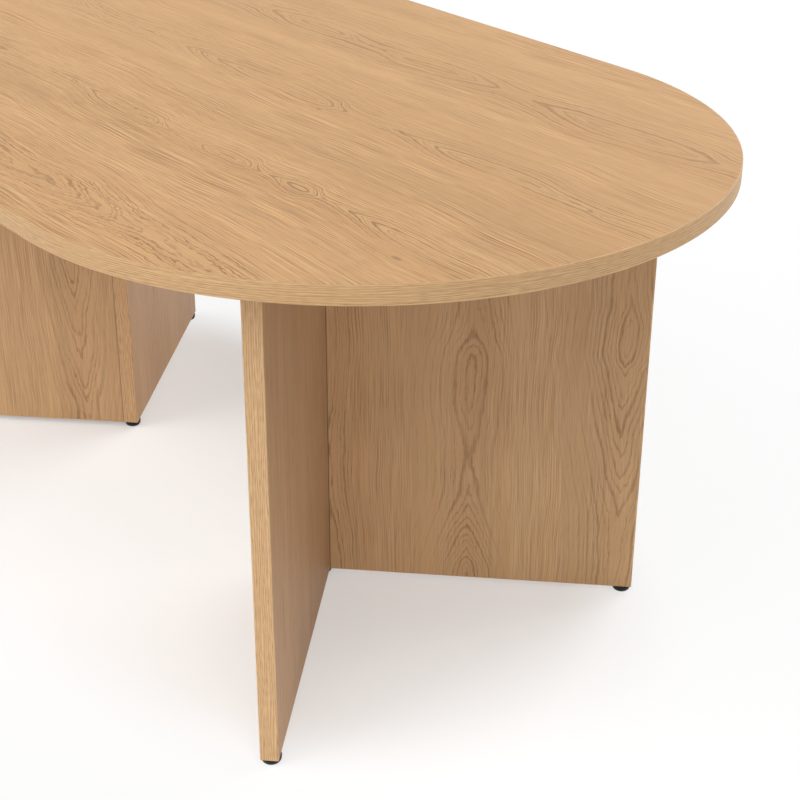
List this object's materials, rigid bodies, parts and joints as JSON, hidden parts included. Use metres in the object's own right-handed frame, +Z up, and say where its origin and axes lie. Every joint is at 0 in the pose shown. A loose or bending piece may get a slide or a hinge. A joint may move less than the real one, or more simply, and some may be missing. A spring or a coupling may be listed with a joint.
{
  "type": "meeting table",
  "caption": "D-ended oak-effect table: one edged board top on two V-shaped panel legs, joined with cams and dowels, standing on black levelling feet that screw out.",
  "frame": {"origin": "on the floor, under the middle of the top, with the feet screwed right in", "axes": "+Z up, X along the table's length, Y across it. The right leg stands at +X, with its long panel towards -Y"},
  "size_m": [1.7996, 1, 0.735],
  "materials": {
    "oak_top_board": "oak-effect melamine-faced board, satin, grain along the table",
    "oak_leg_board": "oak-effect melamine-faced board, satin, upright grain",
    "oak_edging": "oak-effect plastic edging, satin, fine grain along its length",
    "beech_dowel": "plain beech",
    "zinc_plate": "bright zinc plating",
    "black_plastic": "black moulded plastic, semi-gloss"
  },
  "bodies": {
    "table": {"top_board": "oak_top_board", "top_edge_band": "oak_edging", "right_long_panel": "oak_leg_board", "right_short_panel": "oak_leg_board", "right_long_outer_band": "oak_edging", "right_long_inner_band": "oak_edging", "right_long_base_band": "oak_edging", "right_short_outer_band": "oak_edging", "right_short_base_band": "oak_edging", "right_joint_dowels": "beech_dowel", "right_top_dowels": "beech_dowel", "right_cam_bolts": "zinc_plate", "right_cam_locks": "zinc_plate", "right_foot_inserts": "zinc_plate", "left_long_panel": "oak_leg_board", "left_short_panel": "oak_leg_board", "left_long_outer_band": "oak_edging", "left_long_inner_band": "oak_edging", "left_long_base_band": "oak_edging", "left_short_outer_band": "oak_edging", "left_short_base_band": "oak_edging", "left_joint_dowels": "beech_dowel", "left_top_dowels": "beech_dowel", "left_cam_bolts": "zinc_plate", "left_cam_locks": "zinc_plate", "left_foot_inserts": "zinc_plate"},
    "right_long_end_leveller": {"right_long_end_foot": "black_plastic", "right_long_end_stud": "zinc_plate"},
    "right_corner_leveller": {"right_corner_foot": "black_plastic", "right_corner_stud": "zinc_plate"},
    "right_short_end_leveller": {"right_short_end_foot": "black_plastic", "right_short_end_stud": "zinc_plate"},
    "left_long_end_leveller": {"left_long_end_foot": "black_plastic", "left_long_end_stud": "zinc_plate"},
    "left_corner_leveller": {"left_corner_foot": "black_plastic", "left_corner_stud": "zinc_plate"},
    "left_short_end_leveller": {"left_short_end_foot": "black_plastic", "left_short_end_stud": "zinc_plate"}
  },
  "joints": [
    {"name": "right_long_end_screw_out", "type": "slide", "parent": "table", "child": "right_long_end_leveller", "axis": [0, 0, -1], "range_m": [0, 0.015]},
    {"name": "right_corner_screw_out", "type": "slide", "parent": "table", "child": "right_corner_leveller", "axis": [0, 0, -1], "range_m": [0, 0.015]},
    {"name": "right_short_end_screw_out", "type": "slide", "parent": "table", "child": "right_short_end_leveller", "axis": [0, 0, -1], "range_m": [0, 0.015]},
    {"name": "left_long_end_screw_out", "type": "slide", "parent": "table", "child": "left_long_end_leveller", "axis": [0, 0, -1], "range_m": [0, 0.015]},
    {"name": "left_corner_screw_out", "type": "slide", "parent": "table", "child": "left_corner_leveller", "axis": [0, 0, -1], "range_m": [0, 0.015]},
    {"name": "left_short_end_screw_out", "type": "slide", "parent": "table", "child": "left_short_end_leveller", "axis": [0, 0, -1], "range_m": [0, 0.015]}
  ]
}
